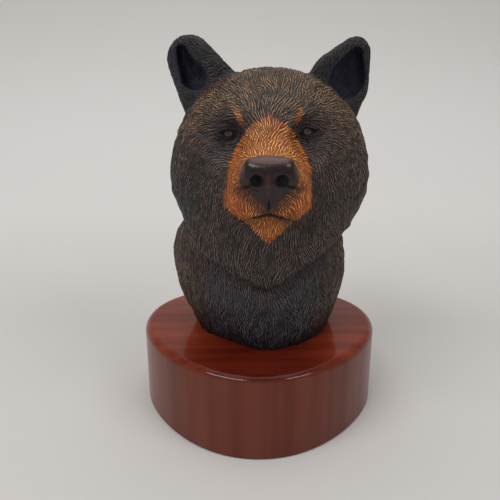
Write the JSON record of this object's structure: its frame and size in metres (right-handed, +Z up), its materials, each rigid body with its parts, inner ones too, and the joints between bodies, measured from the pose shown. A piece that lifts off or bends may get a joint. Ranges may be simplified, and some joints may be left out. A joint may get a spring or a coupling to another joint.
{
  "type": "carved wooden bear bust on a plinth",
  "caption": "Head and neck of a black bear carved in wood and painted, cut flat at the neck and seated on a low lobed plinth of lacquered hardwood.",
  "frame": {"origin": "middle of the plinth's underside", "axes": "+Z up, the bear looks along -Y, +X is the right side of the picture"},
  "size_m": [0.15, 0.136, 0.2268],
  "materials": {
    "painted_fur_wood": "carved hair strokes, stained and dry-brushed near-black brown, with an orange tan muzzle and a satin dark nose",
    "lacquered_plinth_wood": "clear glossy lacquer over red-brown hardwood"
  },
  "bodies": {
    "root": {"bear_bust": "painted_fur_wood", "plinth": "lacquered_plinth_wood"}
  },
  "joints": []
}
